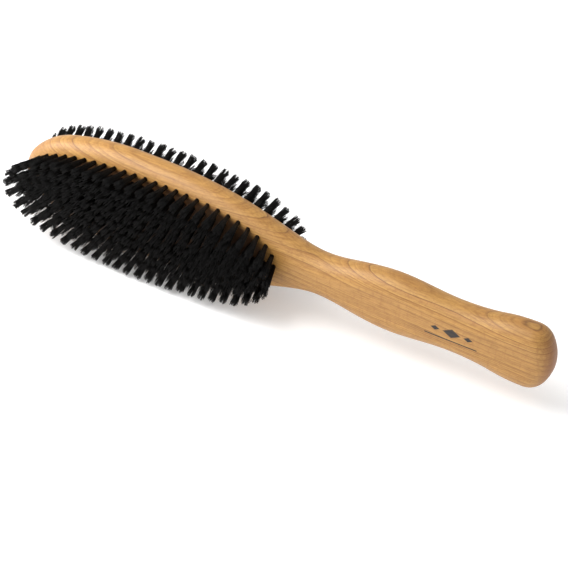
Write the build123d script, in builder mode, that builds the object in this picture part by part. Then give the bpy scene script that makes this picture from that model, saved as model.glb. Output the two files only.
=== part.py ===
"""Two-sided clothes brush: a one-piece hardwood body with a field of bristle tufts on each broad face.

The brush stands on its long edge. +X runs from the head to the end of the handle, the front face
looks along -Y, the back face along +Y, and +Z is up. The origin is under the middle of the whole
brush, bristles included. All sizes are in millimetres.
"""

import os
from math import copysign, cos, pi, radians, sin

from build123d import *

# ---- wooden body ----
overall_length = 290.0
board_thickness = 17.0
edge_radius = 7.8
head_half_width = 28.5
head_tip_x = -144.2  # puts the origin at the middle of the brush with its bristles

# The outline from the head's tip to its widest place is three arcs: the tip, the shoulder and the side.
tip_radius = 16.0
tip_turn = 42.0  # degrees
shoulder_radius = 42.0
shoulder_turn = 31.0  # degrees, and the side's arc turns the rest of the way
side_turn = 90.0 - tip_turn - shoulder_turn
tip_rise = tip_radius * sin(radians(tip_turn))
shoulder_rise = shoulder_radius * (cos(radians(side_turn)) - sin(radians(tip_turn)))
side_radius = (head_half_width - tip_rise - shoulder_rise) / (1 - cos(radians(side_turn)))

# From there one smooth curve runs past the neck and along the handle: (distance from the tip, half width).
handle_points = [
    (80.0, 28.3),
    (102.0, 26.6),
    (130.0, 20.9),
    (150.0, 14.6),
    (167.0, 10.8),
    (187.0, 13.4),
    (208.0, 15.8),
    (238.0, 13.4),
    (258.0, 14.9),
]
handle_half_width = 17.2  # at its widest, near the end
corner_radius = 10.5  # of the outline at the end of the handle
corner_turn = 60.0  # degrees, and the end's own large arc turns the rest of the way
end_radius = (handle_half_width - corner_radius * (1 - cos(radians(corner_turn)))) / cos(radians(corner_turn))
end_length = corner_radius * sin(radians(corner_turn)) + end_radius * (1 - sin(radians(corner_turn)))

# ---- bristle fields ----
field_centre = 75.5  # from the head's tip
outer_semi_length = 70.4
outer_half_width = 22.1
oval_fullness = 2.32  # exponent of the oval: 2 is an ellipse, and more is squarer
oval_guides = 60  # points that a ring's curve is drawn through
tuft_pitch = 5.85
ring_gap = 5.4
ring_count = 4
centre_row_length = 95.0
centre_row_count = 17
lean_along = 0.28  # sideways run per unit of height at the field's two ends
lean_across = 0.17  # the same at its two long sides

hole_radius = 1.2
hole_depth = 7.0
mouth_allowance = 1.0  # the drill starts this far above the face, because the holes are tilted
tuft_root_radius = 1.15
tuft_tip_radius = 2.0
floor_gap = 0.1  # between a tuft's folded end and the bottom of its hole

# ---- flat wire anchors ----
anchor_length = 2.2
anchor_height = 1.5
anchor_thickness = 0.3
slot_clearance = 0.02
fold_thickness = 0.5  # bristle under the wire, where the bundle is folded

# Each face: the way it looks along Y, and the length of its bristles.
faces = {"front": (-1, 16.5), "back": (1, 10.5)}
# The board stands off centre, so that the origin is midway between the tips of the two fields.
board_centre_y = (faces["front"][1] - faces["back"][1]) / 2

broad_plane = Plane(origin=(head_tip_x, board_centre_y, head_half_width), x_dir=(1, 0, 0), z_dir=(0, -1, 0))
centred_top = (Align.CENTER, Align.CENTER, Align.MAX)
centred_bottom = (Align.CENTER, Align.CENTER, Align.MIN)


def oval_point(semi_length, half_width, angle):
    """A point of a full oval, a superellipse."""
    power = 2 / oval_fullness
    along = copysign(abs(cos(angle)) ** power, cos(angle))
    across = copysign(abs(sin(angle)) ** power, sin(angle))
    return (semi_length * along, half_width * across)


def ring_points(ring):
    """Points of one closed ring of tufts, evenly spaced, as (along, across) from the field's centre."""
    semi_length = outer_semi_length - ring * ring_gap
    half_width = outer_half_width - ring * ring_gap
    guides = [oval_point(semi_length, half_width, 2 * pi * step / oval_guides) for step in range(oval_guides)]
    with BuildLine() as oval:
        Spline(*guides, periodic=True)
    path = oval.edge()
    count = round(path.length / tuft_pitch)
    step = path.length / count
    return [path.position_at(step * i, position_mode=PositionMode.LENGTH) for i in range(count)]


def centre_row_points():
    """Points of the straight row in the middle of the field."""
    step = centre_row_length / (centre_row_count - 1)
    return [Vector(step * i - centre_row_length / 2, 0) for i in range(centre_row_count)]


def tuft_planes(points, side):
    """A plane at each tuft's root, its z_dir along the tuft. side is -1 for the front, 1 for the back."""
    planes = []
    for point in points:
        root_y = board_centre_y + side * board_thickness / 2
        root = (head_tip_x + field_centre + point.X, root_y, head_half_width + point.Y)
        lean_x = lean_along * point.X / outer_semi_length
        lean_z = lean_across * point.Y / outer_half_width
        planes.append(Plane(origin=root, x_dir=(0, 0, 1), z_dir=(lean_x, side, lean_z)))
    return planes


def make_tufts(planes, bristle_length):
    """One ring of tufts: a folded root that fills its hole and a bundle that flares to its tip."""
    root_depth = hole_depth - floor_gap
    anchor_planes = [plane.offset(fold_thickness - root_depth) for plane in planes]
    with BuildPart() as tufts:
        with Locations(*planes):
            Cylinder(tuft_root_radius, root_depth, align=centred_top)
            Cone(tuft_root_radius, tuft_tip_radius, bristle_length, align=centred_bottom)
        with Locations(*anchor_planes):
            Box(
                2 * hole_radius,
                anchor_thickness + 2 * slot_clearance,
                anchor_height + slot_clearance,
                align=centred_bottom,
                mode=Mode.SUBTRACT,
            )
    return tufts


def make_anchors(planes):
    """The flat wires of one ring, each lying across its tuft just above the fold."""
    depth = hole_depth - floor_gap - fold_thickness
    with BuildPart() as anchors:
        with Locations(*[plane.offset(slot_clearance / 2 - depth) for plane in planes]):
            Box(anchor_length, anchor_thickness, anchor_height, align=centred_bottom)
    return anchors


# ---- where the tufts stand ----
ring_layouts = [ring_points(ring) for ring in range(ring_count)]
ring_layouts.append(centre_row_points())

# ---- wooden body: blank with rounded edges ----
with BuildPart() as blank:
    with BuildSketch(broad_plane):
        with BuildLine():
            tip = JernArc((0, 0), (0, 1), tip_radius, -tip_turn)
            shoulder = JernArc(tip @ 1, tip % 1, shoulder_radius, -shoulder_turn)
            side = JernArc(shoulder @ 1, shoulder % 1, side_radius, -side_turn)
            widest = (overall_length - end_length, handle_half_width)
            side_line = Spline(side @ 1, *handle_points, widest, tangents=[(1, 0), (1, 0)])
            corner = JernArc(side_line @ 1, side_line % 1, corner_radius, -corner_turn)
            JernArc(corner @ 1, corner % 1, end_radius, corner_turn - 90)
            mirror(about=Plane.XZ)
        make_face()
    extrude(amount=board_thickness / 2, both=True)
    fillet(blank.faces().filter_by(Axis.Y).edges(), edge_radius)

# ---- wooden body: a blind hole for every tuft ----
with BuildPart() as brush_body:
    add(blank.part)
    for side, _ in faces.values():
        for layout in ring_layouts:
            mouths = [plane.offset(mouth_allowance) for plane in tuft_planes(layout, side)]
            with Locations(*mouths):
                Hole(hole_radius, hole_depth + mouth_allowance)

# ---- write every piece ----
os.makedirs("parts", exist_ok=True)
brush_body.part.label = "brush_body"
export_step(brush_body.part, "parts/brush_body.step")
for face_name, (side, bristle_length) in faces.items():
    for number, layout in enumerate(ring_layouts, start=1):
        planes = tuft_planes(layout, side)
        tufts = make_tufts(planes, bristle_length)
        tufts.part.label = f"{face_name}_tufts_ring_{number}"
        export_step(tufts.part, f"parts/{tufts.part.label}.step")
        anchors = make_anchors(planes)
        anchors.part.label = f"{face_name}_anchors_ring_{number}"
        export_step(anchors.part, f"parts/{anchors.part.label}.step")

        print(tufts.part.label, len(tufts.solids()), "tufts and", len(anchors.solids()), "anchors")
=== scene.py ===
"""Looks of the two-sided clothes brush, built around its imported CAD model."""

import math

import bmesh
import bpy
import numpy as np
from mathutils import Matrix, Vector


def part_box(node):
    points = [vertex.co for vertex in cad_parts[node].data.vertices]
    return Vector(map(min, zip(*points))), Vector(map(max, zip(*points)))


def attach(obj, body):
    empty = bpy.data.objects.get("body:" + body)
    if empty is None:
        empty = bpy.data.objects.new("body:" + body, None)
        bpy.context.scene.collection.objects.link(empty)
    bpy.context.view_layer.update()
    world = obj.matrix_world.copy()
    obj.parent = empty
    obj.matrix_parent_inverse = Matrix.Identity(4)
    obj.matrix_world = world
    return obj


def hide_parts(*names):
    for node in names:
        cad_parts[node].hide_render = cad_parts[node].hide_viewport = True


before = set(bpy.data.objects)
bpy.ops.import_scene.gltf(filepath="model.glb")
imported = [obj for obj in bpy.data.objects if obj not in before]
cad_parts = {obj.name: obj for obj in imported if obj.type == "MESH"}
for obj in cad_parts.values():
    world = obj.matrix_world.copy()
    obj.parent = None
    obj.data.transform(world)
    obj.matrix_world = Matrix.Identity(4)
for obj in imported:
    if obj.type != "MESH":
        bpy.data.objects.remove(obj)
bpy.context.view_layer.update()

MM = 0.001
RANDOM_SEED = 41

# ---- camera: the object's own axes, in millimetres and degrees ----
CAMERA_AIM = (4.1, 3.0, 12.9)
CAMERA_YAW = 25.3
CAMERA_ELEVATION = 38.6
CAMERA_ROLL = 5.1
FOCAL_PIXELS = 2000.0
PIXELS_PER_MM = 2.039
IMAGE_PIXELS = 568
SENSOR_WIDTH = 36.0

# ---- bristles, in millimetres ----
STRANDS_PER_TUFT = 120
STRAND_SIDES = 3
STRAND_RINGS = 4
STRAND_RADIUS_ROOT = 0.135
STRAND_RADIUS_TIP = 0.085
STRAND_TAPER_POWER = 1.5
STRAND_THICKNESS_RANGE = (0.8, 1.15)
STRAND_BOW = 0.16
STRAND_TIP_TURN = 0.16
ROOT_BUNDLE_RADIUS = 1.0
SUNK_DEPTH = 1.5
GOLDEN_ANGLE = 2.39996

# A flare is the tuft's radius at its tips, the power of its opening and the unevenness of its tips.
OUTER_FLARE = (2.3, 1.6, 0.1)
INNER_FLARE = (3.1, 1.15, 0.24)
FLARE_VARIATION = 0.07
TUFT_LEAN = 0.22

# How far the hairs reach: unevenness within a tuft and from tuft to tuft, and the broken short ones.
REACH_PER_UNEVENNESS = 3.2
TUFT_REACH_VARIATION = 0.25
CLUMP_REACH_VARIATION = 0.28
PROUD_TIP = 0.3
SHORT_SHARE = 0.16
SHORT_BY = (0.6, 2.4)

# The tips gather in a few clumps. Loose hairs join any clump, and strays lean further out.
CLUMPS_PER_TUFT = 5
CLUMP_PULL = 0.28
CLUMP_RADIUS_SHARE = 0.7
CLUMP_PLACE = (0.2, 0.8)
LOOSE_SHARE = 0.25
STRAY_SHARE = 0.07
STRAY_BY = (0.2, 0.9)

# The dense core of a tuft, from its foot to its end: radii, and places as shares of the tuft's length.
CORE_SIDES = 12
CORE_FOOT_RADIUS = 0.9
CORE_PROFILE = [(0.0, 0.95), (0.3, 1.1), (0.5, 0.5)]

# How much of a CAD tuft, at its tip and at its foot, tells where its axis runs.
TIP_SLICE = 1.3
FOOT_SLICE = 1.2
WELD_DISTANCE = 0.001

# ---- the two bristle fields: which way each faces along Y, and its rings with the middle row ----
FACES = {"front": -1, "back": 1}
RING_COUNT = 5

# ---- the plain mark on the handle, in millimetres: (x, z, half length, half height) ----
MARK_DIAMONDS = [(88.0, 29.8, 2.4, 1.3), (96.5, 29.8, 4.6, 2.6), (105.0, 29.8, 2.4, 1.3)]
MARK_LINE = (96.5, 25.4, 13.5, 0.3)
MARK_DEPTH = 0.5

# ---- the outline of the bristle field is a superellipse of this power ----
OVAL_FULLNESS = 2.32

# ---- growth rings, in metres: the pith lies below the brush and sinks towards the handle's end ----
PITH_DEPTH = 0.075
PITH_SLOPE = 0.055
PITH_FORWARD = 0.009
RINGS_PER_METRE = 330.0
NARROW_RINGS_PER_METRE = 940.0
RING_WANDER = 0.0042
RING_RIPPLE = 0.00016

# ---- colours, in 8-bit sRGB, and the broad rings' tones from one growth line to the next ----
EARLY_WOOD = (182, 138, 72)
MIDDLE_WOOD = (174, 128, 65)
DENSER_WOOD = (162, 114, 55)
LATE_WOOD = (104, 64, 28)
RING_TONES = [
    (0.0, EARLY_WOOD),
    (0.6, MIDDLE_WOOD),
    (0.89, DENSER_WOOD),
    (0.955, LATE_WOOD),
    (1.0, EARLY_WOOD),
]
PLAIN_WOOD = (176, 130, 67)
RAY_FLECK = (146, 96, 48)
PORE_BROWN = (128, 80, 44)
END_GRAIN_BROWN = (130, 74, 32)
FIELD_SHADE = (62, 34, 16)
INK_BLACK = (22, 14, 10)
WIRE_DARK = (176, 140, 74)
WIRE_LIGHT = (222, 190, 120)

# ---- colours, as linear values ----
NO_TINT = (1.0, 1.0, 1.0)
BRISTLE_TONES = [
    (0.3, (0.0022, 0.0020, 0.0019)),
    (0.6, (0.0050, 0.0044, 0.0040)),
    (0.85, (0.012, 0.010, 0.009)),
]
FLOOR_TONES = [(0.2, (0.92, 0.92, 0.92)), (0.8, (0.95, 0.95, 0.95))]

# ---- floor and lights, in metres and watts: each light's place, aim, diameter and power ----
FLOOR_REACH = 6.0
FLOOR_DROP = 0.0002
FLOOR_GLOW = 0.2
WORLD_STRENGTH = 0.62
LIGHTS = {
    "key": ((-0.34, -0.20, 0.52), (-0.06, 0.0, 0.03), 0.6, 4.4),
    "fill": ((-0.3, -1.1, 0.6), (0.05, 0.0, 0.03), 0.8, 2.7),
    "side": ((-0.55, -0.06, 0.26), (-0.14, 0.0, 0.03), 0.25, 1.3),
}


# ---------------------------------------------------------------- materials
class Nodes:
    """A short way to add and join shader nodes."""

    def __init__(self, name):
        self.material = bpy.data.materials.new(name)
        self.material.use_nodes = True
        self.tree = self.material.node_tree
        self.shader = self.tree.nodes["Principled BSDF"]

    def add(self, kind, inputs=None, **settings):
        node = self.tree.nodes.new("ShaderNode" + kind)
        for key, value in settings.items():
            setattr(node, key, value)
        for key, value in (inputs or {}).items():
            self.put(node.inputs[key], value)
        return node

    def put(self, socket, value):
        if isinstance(value, bpy.types.NodeSocket):
            self.tree.links.new(value, socket)
        else:
            socket.default_value = value

    def math(self, operation, first, second=0.0, third=0.0):
        node = self.add("Math", {0: first, 1: second, 2: third}, operation=operation)
        return node.outputs[0]

    def noise(self, vector, scale, detail=2.0, roughness=0.5):
        inputs = {"Vector": vector, "Scale": scale, "Detail": detail, "Roughness": roughness}
        return self.add("TexNoise", inputs).outputs["Fac"]

    def stretched(self, vector, scale):
        node = self.add("Mapping", {"Vector": vector, "Scale": scale})
        return node.outputs["Vector"]

    def ramp(self, factor, stops, interpolation="LINEAR"):
        node = self.add("ValToRGB", {"Fac": factor})
        node.color_ramp.interpolation = interpolation
        elements = node.color_ramp.elements
        while len(elements) < len(stops):
            elements.new(0.5)
        for element, (place, colour) in zip(elements, stops):
            element.position = place
            element.color = (*colour, 1.0)
        return node.outputs["Color"]

    def level(self, factor, low, high, to_low=0.0, to_high=1.0):
        """A value's range stretched on to another range and held within it."""
        inputs = {"Value": factor, "From Min": low, "From Max": high, "To Min": to_low, "To Max": to_high}
        return self.add("MapRange", inputs).outputs["Result"]

    def blend(self, factor, first, second, kind="MIX"):
        node = self.add("Mix", data_type="RGBA", blend_type=kind)
        self.put(node.inputs[0], factor)
        self.put(node.inputs[6], first)
        self.put(node.inputs[7], second)
        return node.outputs[2]

    def paint(self, colour, amount, over):
        """A plain 8-bit sRGB colour laid over another colour."""
        return self.blend(amount, colour, (*srgb(*over), 1.0))

    def tint(self, colour, amount, grain, dark, light):
        """A colour multiplied by a grain that runs from a dark tint, through none, to a light one."""
        tints = self.ramp(grain, [dark, (0.5, NO_TINT), light])
        return self.blend(amount, colour, tints, "MULTIPLY")

    def bump(self, height, strength, distance):
        node = self.add("Bump", {"Height": height, "Strength": strength, "Distance": distance})
        self.put(self.shader.inputs["Normal"], node.outputs["Normal"])


def srgb(red, green, blue):
    """Linear values of a colour given in 8-bit sRGB."""
    return tuple(((c / 255 + 0.055) / 1.055) ** 2.4 if c > 10 else c / 3294.6 for c in (red, green, blue))


def away_from(n, value, centre):
    """Distance along one axis from a centre that is given in millimetres."""
    return n.math("ABSOLUTE", n.math("SUBTRACT", value, centre * MM))


def printed_mark(n, x, y, z, front_face):
    """How much ink there is at a point: three diamonds over a thin line, on the front face only."""
    ink = 0.0
    for centre_x, centre_z, half_length, half_height in MARK_DIAMONDS:
        reach_x = n.math("DIVIDE", away_from(n, x, centre_x), half_length * MM)
        reach_z = n.math("DIVIDE", away_from(n, z, centre_z), half_height * MM)
        reach = n.math("ADD", reach_x, reach_z)
        ink = n.math("MAXIMUM", n.level(reach, 0.9, 1.1, 1.0, 0.0), ink)
    centre_x, centre_z, half_length, half_height = MARK_LINE
    within_x = n.math("LESS_THAN", away_from(n, x, centre_x), half_length * MM)
    within_z = n.math("LESS_THAN", away_from(n, z, centre_z), half_height * MM)
    ink = n.math("MAXIMUM", ink, n.math("MULTIPLY", within_x, within_z))
    return n.math("MULTIPLY", ink, n.math("LESS_THAN", y, front_face + MARK_DEPTH * MM))


def ring_radius(n, place, x, y, z):
    """Distance from the pith, bent by slow noise and fine ripple."""
    slow = n.level(n.noise(n.stretched(place, (9.0, 30.0, 30.0)), 1.0, 1.0), 0, 1, -1, 1)
    ripple = n.level(n.noise(n.stretched(place, (60.0, 400.0, 400.0)), 1.0, 2.0), 0, 1, -1, 1)
    rise = n.math("ADD", z, n.math("MULTIPLY", x, PITH_SLOPE))
    rise = n.math("ADD", rise, PITH_DEPTH)
    across = n.math("ADD", y, PITH_FORWARD)
    radius = n.math("SQRT", n.math("ADD", n.math("POWER", rise, 2.0), n.math("POWER", across, 2.0)))
    radius = n.math("ADD", radius, n.math("MULTIPLY", slow, RING_WANDER))
    return n.math("ADD", radius, n.math("MULTIPLY", ripple, RING_RIPPLE))


def growth_rings(n, place, radius, layer):
    """The wood's colour with broad and narrow growth lines, and where the broad lines run."""
    uneven = n.noise(n.stretched(layer, (0.2, 1.0, 55.0)), 1.0, 1.0)
    broad = n.math("MULTIPLY", radius, RINGS_PER_METRE)
    phase = n.math("FRACT", n.math("ADD", broad, n.math("MULTIPLY", uneven, 1.8)))
    colour = n.ramp(phase, [(stop, srgb(*tone)) for stop, tone in RING_TONES])

    # Some rings are faint all along, and every ring fades here and there.
    strength = n.noise(n.stretched(layer, (0.3, 1.0, 260.0)), 1.0, 0.0)
    fade = n.noise(n.stretched(place, (14.0, 40.0, 40.0)), 1.0, 2.0)
    calm = n.math("ADD", n.level(strength, 0.3, 0.7, 0.5, 0.0), n.level(fade, 0.42, 0.62, 0.0, 0.55))
    colour = n.paint(colour, n.math("MINIMUM", calm, 1.0), PLAIN_WOOD)

    narrow = n.math("MULTIPLY", radius, NARROW_RINGS_PER_METRE)
    narrow = n.math("FRACT", n.math("ADD", narrow, n.math("MULTIPLY", uneven, 5.5)))
    pale, soft, dark = (1.02, 1.03, 1.04), (0.96, 0.94, 0.91), (0.66, 0.58, 0.48)
    narrow_colour = n.ramp(narrow, [(0.0, pale), (0.62, soft), (0.9, dark), (1.0, pale)])
    broken = n.noise(n.stretched(place, (22.0, 60.0, 420.0)), 1.0, 2.0, 0.6)
    colour = n.blend(n.level(broken, 0.35, 0.65, 0.1, 0.85), colour, narrow_colour, "MULTIPLY")
    return colour, n.level(phase, 0.8, 0.95)


def field_share(n, value, low, high):
    """One axis' term of the bristle field's superellipse."""
    off_middle = n.math("SUBTRACT", value, (low + high) / 2)
    share = n.math("DIVIDE", off_middle, (high - low) / 2)
    return n.math("POWER", n.math("ABSOLUTE", share), OVAL_FULLNESS)


def wood_material(field_low, field_high, front_face):
    """Hardwood whose growth rings lie one above another across the width, so they show as straight
    lines on the broad faces and as long loops on the rounded edges."""
    n = Nodes("satin_hardwood")
    place = n.add("TexCoord").outputs["Object"]
    x, y, z = n.add("SeparateXYZ", {0: place}).outputs
    radius = ring_radius(n, place, x, y, z)
    layer = n.add("CombineXYZ", {0: n.math("MULTIPLY", x, 4.0), 2: radius}).outputs[0]
    colour, ring_line = growth_rings(n, place, radius, layer)

    # Fine lines inside each ring, broad changes of tone, fibre streaks and mottling.
    fine = n.noise(n.stretched(layer, (1.0, 1.0, 1500.0)), 1.0, 3.0, 0.7)
    colour = n.tint(colour, 0.85, fine, (0.32, (0.74, 0.68, 0.61)), (0.7, (1.05, 1.05, 1.06)))
    tone = n.noise(n.stretched(place, (7.0, 24.0, 60.0)), 1.0, 2.0)
    colour = n.tint(colour, 0.7, tone, (0.3, (0.88, 0.84, 0.79)), (0.72, (1.05, 1.06, 1.07)))
    fibre = n.noise(n.stretched(place, (55.0, 1300.0, 1300.0)), 1.0, 3.0, 0.7)
    colour = n.tint(colour, 0.7, fibre, (0.34, (0.74, 0.67, 0.58)), (0.66, (1.1, 1.11, 1.13)))
    mottle = n.noise(n.stretched(place, (260.0, 900.0, 900.0)), 1.0, 3.0, 0.7)
    colour = n.tint(colour, 0.75, mottle, (0.34, (0.84, 0.79, 0.72)), (0.66, (1.09, 1.11, 1.14)))

    # Flecks of the rays, and pores.
    ray = n.noise(n.stretched(place, (700.0, 900.0, 190.0)), 1.0, 1.0)
    colour = n.paint(colour, n.level(ray, 0.54, 0.74, 0.0, 0.4), RAY_FLECK)
    pores = n.level(n.noise(n.stretched(place, (260.0, 3000.0, 3000.0)), 1.0, 1.0), 0.66, 0.74)
    colour = n.paint(colour, n.math("MULTIPLY", pores, 0.4), PORE_BROWN)

    # Stands in for the deep shade between the tufts: the wood inside the field is painted darker.
    share_x = field_share(n, x, field_low[0], field_high[0])
    share_z = field_share(n, z, field_low[2], field_high[2])
    inside = n.level(n.math("ADD", share_x, share_z), 0.84, 1.0, 0.88, 0.0)
    colour = n.paint(colour, inside, FIELD_SHADE)

    # End grain drinks more lacquer: deeper and redder where the surface faces along the grain.
    normal = n.add("SeparateXYZ", {0: n.add("NewGeometry").outputs["Normal"]})
    along = n.math("ABSOLUTE", normal.outputs["X"])
    colour = n.paint(colour, n.level(along, 0.45, 1.0, 0.0, 0.75), END_GRAIN_BROWN)

    ink = printed_mark(n, x, y, z, front_face)
    worn = n.level(fibre, 0.25, 0.5, 0.88, 1.0)
    colour = n.paint(colour, n.math("MULTIPLY", ink, worn), INK_BLACK)

    n.put(n.shader.inputs["Base Color"], colour)
    n.put(n.shader.inputs["Roughness"], n.level(fibre, 0.2, 0.9, 0.44, 0.58))
    n.shader.inputs["Coat Weight"].default_value = 0.2
    n.shader.inputs["Coat Roughness"].default_value = 0.42
    n.shader.inputs["Specular IOR Level"].default_value = 0.45
    relief = n.math("ADD", n.math("MULTIPLY", fibre, 0.6), n.math("MULTIPLY", pores, -0.8))
    relief = n.math("ADD", relief, n.math("MULTIPLY", ring_line, 0.35))
    n.bump(relief, 0.22, 0.0002)
    return n.material


def bristle_material():
    """Near-black natural bristle, brownish, with paler speckles."""
    n = Nodes("black_bristle")
    place = n.add("TexCoord").outputs["Object"]
    speckle = n.noise(n.stretched(place, (900.0, 900.0, 900.0)), 1.0, 2.0)
    n.put(n.shader.inputs["Base Color"], n.ramp(speckle, BRISTLE_TONES))
    n.put(n.shader.inputs["Roughness"], n.level(speckle, 0.2, 0.8, 0.3, 0.48))
    n.shader.inputs["Specular IOR Level"].default_value = 0.17
    return n.material


def wire_material():
    """Drawn flat wire: brass with fine lines along it."""
    n = Nodes("anchor_wire")
    place = n.add("TexCoord").outputs["Object"]
    lines = n.noise(n.stretched(place, (3000.0, 3000.0, 400.0)), 1.0, 2.0)
    colour = n.ramp(lines, [(0.3, srgb(*WIRE_DARK)), (0.7, srgb(*WIRE_LIGHT))])
    n.put(n.shader.inputs["Base Color"], colour)
    n.put(n.shader.inputs["Roughness"], n.level(lines, 0.2, 0.8, 0.25, 0.42))
    n.shader.inputs["Metallic"].default_value = 1.0
    n.bump(lines, 0.2, 0.00005)
    return n.material


# ---------------------------------------------------------------- helpers
def add_object(name, data):
    item = bpy.data.objects.new(name, data)
    bpy.context.scene.collection.objects.link(item)
    return item


def give_material(item, material):
    item.data.materials.clear()
    item.data.materials.append(material)


def mesh_from_arrays(name, points, faces):
    mesh = bpy.data.meshes.new(name)
    mesh.from_pydata(points.tolist(), [], faces)
    mesh.validate()
    for polygon in mesh.polygons:
        polygon.use_smooth = True
    return mesh


# ---------------------------------------------------------------- bristle tufts
def islands(node):
    """The vertices of each separate solid of a CAD node."""
    mesh = bmesh.new()
    mesh.from_mesh(node.data)
    bmesh.ops.remove_doubles(mesh, verts=mesh.verts, dist=WELD_DISTANCE * MM)
    seen = set()
    groups = []
    for start in mesh.verts:
        if start.index in seen:
            continue
        seen.add(start.index)
        todo = [start]
        group = []
        while todo:
            vertex = todo.pop()
            group.append(vertex.co[:])
            for edge in vertex.link_edges:
                other = edge.other_vert(vertex)
                if other.index not in seen:
                    seen.add(other.index)
                    todo.append(other)
        groups.append(np.array(group))
    mesh.free()
    return groups


def tuft_axis(points, side, face_y):
    """Root on the wood's face, direction and length of one CAD tuft."""
    reach = side * (points[:, 1] - face_y)
    tip = points[reach > reach.max() - TIP_SLICE * MM].mean(axis=0)
    bottom = points[reach < reach.min() + FOOT_SLICE * MM].mean(axis=0)
    direction = tip - bottom
    direction /= np.linalg.norm(direction)
    length = (tip[1] - face_y) / direction[1]
    return tip - direction * length, direction, length


def strand_tubes(paths, radii):
    """Closed tapered tubes along many paths at once: vertices and faces."""
    count, rings, _ = paths.shape
    tangent = paths[:, -1] - paths[:, 0]
    tangent /= np.linalg.norm(tangent, axis=1)[:, None]
    side = np.cross(tangent, (0.0, 0.0, 1.0))
    side /= np.linalg.norm(side, axis=1)[:, None]
    other = np.cross(tangent, side)
    turn = np.arange(STRAND_SIDES) * 2 * np.pi / STRAND_SIDES
    around = np.cos(turn)[None, :, None] * side[:, None] + np.sin(turn)[None, :, None] * other[:, None]
    points = paths[:, :, None] + radii[:, :, None, None] * around[:, None]
    first = np.arange(count)[:, None] * rings * STRAND_SIDES
    faces = []
    for ring in range(rings - 1):
        for corner in range(STRAND_SIDES):
            after = (corner + 1) % STRAND_SIDES
            low, high = ring * STRAND_SIDES, (ring + 1) * STRAND_SIDES
            faces.append(first + np.array([low + corner, low + after, high + after, high + corner]))
    sides = np.concatenate(faces).tolist()
    start_caps = (first + np.arange(STRAND_SIDES)[::-1]).tolist()
    end_caps = (first + (rings - 1) * STRAND_SIDES + np.arange(STRAND_SIDES)).tolist()
    return points.reshape(-1, 3), sides + start_caps + end_caps


def tuft_frame(direction):
    """Two directions square to a tuft's own and to each other."""
    side = np.cross(direction, (0.0, 0.0, 1.0))
    side /= np.linalg.norm(side)
    return side, np.cross(direction, side)


def strand_reach(random, length, unevenness):
    """How far each hair of a tuft reaches from the wood. Some are broken short."""
    reach = length + random.normal(0.0, REACH_PER_UNEVENNESS * unevenness, STRANDS_PER_TUFT) * MM
    reach += random.normal(0.0, TUFT_REACH_VARIATION) * MM
    short = random.uniform(0, 1, STRANDS_PER_TUFT) < SHORT_SHARE
    return reach - short * random.uniform(*SHORT_BY, STRANDS_PER_TUFT) * MM


def pick_clumps(random, tip_angle):
    """Which clump each hair of a tuft belongs to: the one on its side, or any one if it is loose."""
    any_clump = random.integers(0, CLUMPS_PER_TUFT, STRANDS_PER_TUFT)
    loose = random.uniform(0, 1, STRANDS_PER_TUFT) < LOOSE_SHARE
    own_clump = (tip_angle * CLUMPS_PER_TUFT / 2 / np.pi).astype(int) % CLUMPS_PER_TUFT
    return np.where(loose, any_clump, own_clump)


def pulled(own_place, clump_place):
    """A tip's place, drawn part of the way to its clump."""
    return own_place * (1 - CLUMP_PULL) + clump_place * CLUMP_PULL


def strand_paths(random, root, direction, length, flare_shape):
    """The hairs of one tuft: packed tight in the hole, fanning out towards uneven tips."""
    tip_radius, flare_power, unevenness = flare_shape
    side, other = tuft_frame(direction)
    order = np.arange(STRANDS_PER_TUFT) + 0.5
    spread = np.sqrt(order / STRANDS_PER_TUFT)
    angle = order * GOLDEN_ANGLE + random.uniform(0, 2 * np.pi)
    spread_root = spread * ROOT_BUNDLE_RADIUS
    flare = random.normal(1.0, FLARE_VARIATION)
    spread_tip = spread * tip_radius * flare * random.normal(1.0, unevenness, STRANDS_PER_TUFT)
    tip_angle = angle + random.normal(0, STRAND_TIP_TURN, STRANDS_PER_TUFT)
    reach = strand_reach(random, length, unevenness)

    clump = pick_clumps(random, tip_angle)
    clump_turn = np.arange(CLUMPS_PER_TUFT) + random.uniform(*CLUMP_PLACE, CLUMPS_PER_TUFT)
    clump_angle = clump_turn * 2 * np.pi / CLUMPS_PER_TUFT
    clump_reach = random.normal(0.0, CLUMP_REACH_VARIATION, CLUMPS_PER_TUFT) * MM
    reach = np.minimum(reach + clump_reach[clump], length + PROUD_TIP * MM)
    stray = random.uniform(0, 1, STRANDS_PER_TUFT) < STRAY_SHARE
    stray_tip = spread_tip + random.uniform(*STRAY_BY, STRANDS_PER_TUFT)
    spread_tip = np.where(stray, stray_tip, spread_tip)
    clump_radius = CLUMP_RADIUS_SHARE * tip_radius
    tip_u = pulled(spread_tip * np.cos(tip_angle), clump_radius * np.cos(clump_angle)[clump])
    tip_v = pulled(spread_tip * np.sin(tip_angle), clump_radius * np.sin(clump_angle)[clump])

    lean = random.normal(0.0, TUFT_LEAN, 2)
    bow = random.normal(0.0, STRAND_BOW, (STRANDS_PER_TUFT, 2))
    steps = np.linspace(0.0, 1.0, STRAND_RINGS)
    along = -SUNK_DEPTH * MM + (reach + SUNK_DEPTH * MM)[:, None] * steps
    grow = steps**flare_power
    wave = np.sin(np.pi * steps) * MM
    u = (spread_root * np.cos(angle))[:, None] * (1 - grow) + tip_u[:, None] * grow
    v = (spread_root * np.sin(angle))[:, None] * (1 - grow) + tip_v[:, None] * grow
    u = u * MM + bow[:, :1] * wave + lean[0] * MM * grow
    v = v * MM + bow[:, 1:] * wave + lean[1] * MM * grow
    return root + along[..., None] * direction + u[..., None] * side + v[..., None] * other


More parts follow.
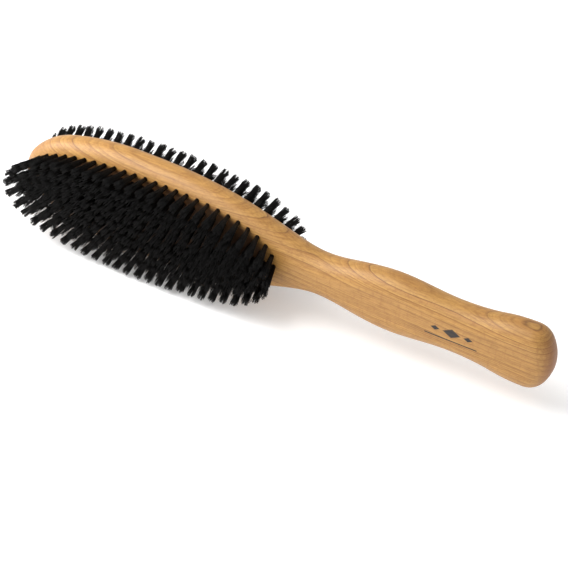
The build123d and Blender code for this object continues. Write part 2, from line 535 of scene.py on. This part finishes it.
def core_tube(root, direction, length):
    """The dense middle of a tuft, inside its hairs."""
    side, other = tuft_frame(direction)
    turn = np.arange(CORE_SIDES) * 2 * np.pi / CORE_SIDES
    around = np.cos(turn)[:, None] * side + np.sin(turn)[:, None] * other
    stations = [(-SUNK_DEPTH * MM, CORE_FOOT_RADIUS)]
    stations += [(share * length, radius) for share, radius in CORE_PROFILE]
    points = np.concatenate([root + depth * direction + radius * MM * around for depth, radius in stations])
    faces = []
    for ring in range(len(stations) - 1):
        for corner in range(CORE_SIDES):
            after = (corner + 1) % CORE_SIDES
            low, high = ring * CORE_SIDES, (ring + 1) * CORE_SIDES
            faces.append([low + corner, low + after, high + after, high + corner])
    faces.append(list(range(CORE_SIDES))[::-1])
    faces.append([(len(stations) - 1) * CORE_SIDES + corner for corner in range(CORE_SIDES)])
    return points, faces


def make_tuft_ring(node_name, random, side, face_y, flare_shape, material):
    """One ring of hair tufts in place of the CAD's plain ones."""
    paths, points, faces = [], [], []
    offset = 0
    for island in islands(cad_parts[node_name]):
        root, direction, length = tuft_axis(island, side, face_y)
        paths.append(strand_paths(random, root, direction, length, flare_shape))
        core_points, core_faces = core_tube(root, direction, length)
        points.append(core_points)
        faces += [[index + offset for index in face] for face in core_faces]
        offset += len(core_points)
    paths = np.concatenate(paths)
    taper = np.linspace(0.0, 1.0, STRAND_RINGS) ** STRAND_TAPER_POWER
    radii = (STRAND_RADIUS_ROOT + (STRAND_RADIUS_TIP - STRAND_RADIUS_ROOT) * taper) * MM
    thickness = random.uniform(*STRAND_THICKNESS_RANGE, len(paths))
    strand_points, strand_faces = strand_tubes(paths, thickness[:, None] * radii)
    points.append(strand_points)
    faces += [[index + offset for index in face] for face in strand_faces]
    mesh = mesh_from_arrays(node_name + "_hair", np.concatenate(points), faces)
    hair = add_object(node_name + "_hair", mesh)
    give_material(hair, material)
    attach(hair, "root")
    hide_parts(node_name)


# ---------------------------------------------------------------- build the looks
body_low, body_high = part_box("brush_body")
face_places = {"front": body_low[1], "back": body_high[1]}
wood = wood_material(*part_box("front_anchors_ring_1"), face_places["front"])
bristle = bristle_material()
wire = wire_material()
give_material(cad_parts["brush_body"], wood)

random = np.random.default_rng(RANDOM_SEED)
for face_name, side in FACES.items():
    for ring in range(1, RING_COUNT + 1):
        give_material(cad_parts[f"{face_name}_anchors_ring_{ring}"], wire)
        flare_shape = OUTER_FLARE if ring == 1 else INNER_FLARE
        node_name = f"{face_name}_tufts_ring_{ring}"
        make_tuft_ring(node_name, random, side, face_places[face_name], flare_shape, bristle)


# ---------------------------------------------------------------- floor, light, camera
def make_floor():
    n = Nodes("pale_floor")
    place = n.add("TexCoord").outputs["Object"]
    mottle = n.noise(place, 6.0, 2.0)
    n.put(n.shader.inputs["Base Color"], n.ramp(mottle, FLOOR_TONES))
    n.shader.inputs["Roughness"].default_value = 0.9
    n.shader.inputs["Emission Color"].default_value = (1.0, 1.0, 1.0, 1.0)
    n.shader.inputs["Emission Strength"].default_value = FLOOR_GLOW
    mesh = bpy.data.meshes.new("floor")
    reach = FLOOR_REACH
    corners = [(-reach, -reach, 0), (reach, -reach, 0), (reach, reach, 0), (-reach, reach, 0)]
    mesh.from_pydata(corners, [], [(0, 1, 2, 3)])
    floor = add_object("floor", mesh)
    floor.location.z = -FLOOR_DROP
    give_material(floor, n.material)


def make_light(name, place, aim, size, power):
    data = bpy.data.lights.new(name, "AREA")
    data.shape = "DISK"
    data.size = size
    data.energy = power
    lamp = add_object(name, data)
    lamp.location = place
    lamp.rotation_euler = (Vector(aim) - Vector(place)).to_track_quat("-Z", "Y").to_euler()


def make_world():
    world = bpy.data.worlds.new("studio")
    world.use_nodes = True
    background = world.node_tree.nodes["Background"]
    background.inputs["Color"].default_value = (1.0, 1.0, 1.0, 1.0)
    background.inputs["Strength"].default_value = WORLD_STRENGTH
    bpy.context.scene.world = world


def make_camera():
    yaw, elevation, roll = (math.radians(a) for a in (CAMERA_YAW, CAMERA_ELEVATION, CAMERA_ROLL))
    right = Vector((math.cos(yaw), math.sin(yaw), 0.0))
    level = Vector((math.sin(yaw), -math.cos(yaw), 0.0))
    toward = level * math.cos(elevation) + Vector((0.0, 0.0, math.sin(elevation)))
    up = toward.cross(right)
    right_rolled = right * math.cos(roll) + up * math.sin(roll)
    up_rolled = up * math.cos(roll) - right * math.sin(roll)
    distance = FOCAL_PIXELS / PIXELS_PER_MM * MM
    data = bpy.data.cameras.new("camera")
    data.sensor_width = SENSOR_WIDTH
    data.lens = FOCAL_PIXELS * SENSOR_WIDTH / IMAGE_PIXELS
    camera = add_object("camera", data)
    turn = Matrix((right_rolled, up_rolled, toward)).transposed().to_4x4()
    camera.matrix_world = Matrix.Translation(Vector(CAMERA_AIM) * MM + toward * distance) @ turn
    bpy.context.scene.camera = camera


make_floor()
make_world()
for light_name, light in LIGHTS.items():
    make_light(light_name, *light)
make_camera()
bpy.context.scene.view_settings.view_transform = "Standard"
